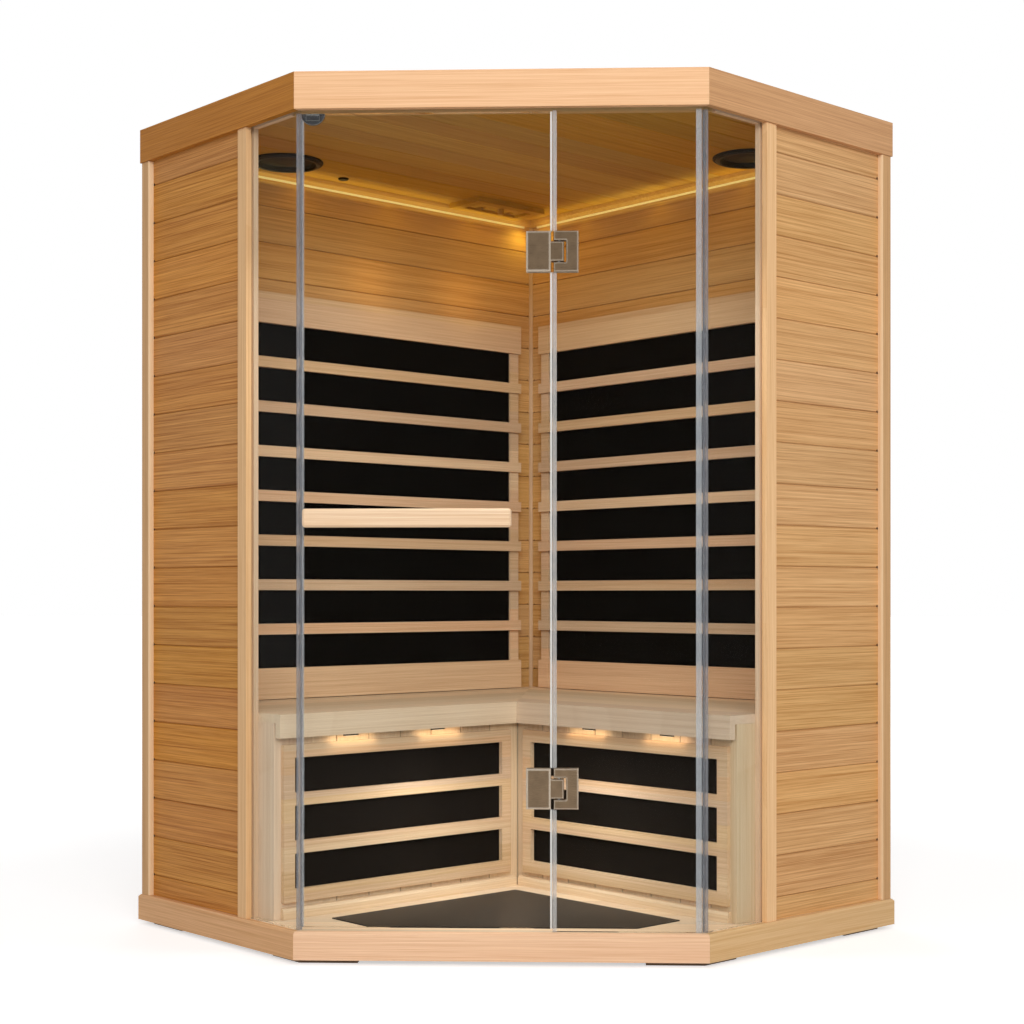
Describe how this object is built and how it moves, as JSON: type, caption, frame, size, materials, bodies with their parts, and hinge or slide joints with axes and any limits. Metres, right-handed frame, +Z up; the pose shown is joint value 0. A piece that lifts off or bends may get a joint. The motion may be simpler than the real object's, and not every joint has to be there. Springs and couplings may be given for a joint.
{
  "type": "infrared sauna cabin",
  "caption": "Corner infrared sauna cabin: glass front with a swinging glass door, plank walls, mitred bench, slatted rear heaters, leg and floor heaters, sliding ceiling vent.",
  "frame": {"origin": "on the ground, under the middle of the bounding box", "axes": "+Z up, the glass front faces -Y, the rear corner points to +Y, +X to the right of someone who faces the front"},
  "size_m": [1.8638, 1.4246, 1.966],
  "materials": {
    "siding": "clear satin lacquer over honey-coloured boards",
    "post_wood": "clear satin lacquer",
    "fascia_wood": "clear satin lacquer",
    "base_wood": "clear satin lacquer",
    "cover_wood": "bare plywood",
    "foot_wood": "dark stained block",
    "floor_wood": "sanded, unfinished",
    "ceiling_wood": "sanded, unfinished boards",
    "crown_wood": "sanded, unfinished",
    "header_wood": "sanded, unfinished",
    "bench_wood": "sanded, unfinished",
    "bench_front_wood": "sanded, unfinished boards",
    "frame_wood": "sanded, unfinished",
    "grille_wood": "sanded, unfinished",
    "vent_wood": "sanded, unfinished",
    "handle_wood": "sanded, oiled",
    "heater_panel": "matt black carbon panel",
    "floor_heater_panel": "matt dark panel",
    "clear_glass": "clear tempered glass, polished edges",
    "hinge_metal": "satin nickel",
    "pin_metal": "ground steel",
    "catch_metal": "satin nickel",
    "speaker_plastic": "matt black",
    "sensor_plastic": "matt black",
    "lamp_plastic": "matt black",
    "control_plastic": "gloss black",
    "power_box": "powder coated"
  },
  "bodies": {
    "cabin": {"base_trim_front": "base_wood", "base_trim_left": "base_wood", "base_trim_rear": "base_wood", "base_trim_right": "base_wood", "catch_plate": "catch_metal", "ceiling_crown": "crown_wood", "ceiling_panel": "ceiling_wood", "control_panel": "control_plastic", "door_header": "header_wood", "floor_heater": "floor_heater_panel", "floor_panel": "floor_wood", "foot_front_left": "foot_wood", "foot_front_right": "foot_wood", "foot_left": "foot_wood", "foot_rear": "foot_wood", "foot_right": "foot_wood", "front_pane": "clear_glass", "left_bench_front": "bench_front_wood", "left_bench_seat": "bench_wood", "left_front_post": "post_wood", "left_lamp_rail": "lamp_plastic", "left_leg_grille": "frame_wood", "left_leg_heater": "heater_panel", "left_pane": "clear_glass", "left_rear_grille": "grille_wood", "left_rear_heater": "heater_panel", "left_rear_wall": "siding", "left_side_wall": "siding", "left_speaker": "speaker_plastic", "lower_hinge_fixed_leaf": "hinge_metal", "lower_hinge_pin": "pin_metal", "power_supply": "power_box", "right_bench_front": "bench_front_wood", "right_bench_seat": "bench_wood", "right_front_post": "post_wood", "right_lamp_rail": "lamp_plastic", "right_leg_grille": "frame_wood", "right_leg_heater": "heater_panel", "right_pane": "clear_glass", "right_rear_grille": "grille_wood", "right_rear_heater": "heater_panel", "right_rear_wall": "siding", "right_side_wall": "siding", "right_speaker": "speaker_plastic", "roof_cover": "cover_wood", "roof_fascia_front": "fascia_wood", "roof_fascia_left": "fascia_wood", "roof_fascia_rear_left": "fascia_wood", "roof_fascia_rear_right": "fascia_wood", "roof_fascia_right": "fascia_wood", "temperature_sensor": "sensor_plastic", "upper_hinge_fixed_leaf": "hinge_metal", "upper_hinge_pin": "pin_metal", "vent_frame": "vent_wood"},
    "door": {"door_pane": "clear_glass", "door_handle": "handle_wood", "door_strike": "catch_metal", "lower_hinge_door_leaf": "hinge_metal", "upper_hinge_door_leaf": "hinge_metal"},
    "vent_slide": {"vent_slide": "vent_wood"}
  },
  "joints": [
    {"name": "door_hinge", "type": "hinge", "parent": "cabin", "child": "door", "pos_m": [0.1275, -0.66828, 0.979], "axis": [0, 0, 1], "range_deg": [0, 100]},
    {"name": "vent_slide", "type": "slide", "parent": "cabin", "child": "vent_slide", "axis": [-0.7071, -0.7071, 0], "range_m": [0, 0.025]}
  ]
}
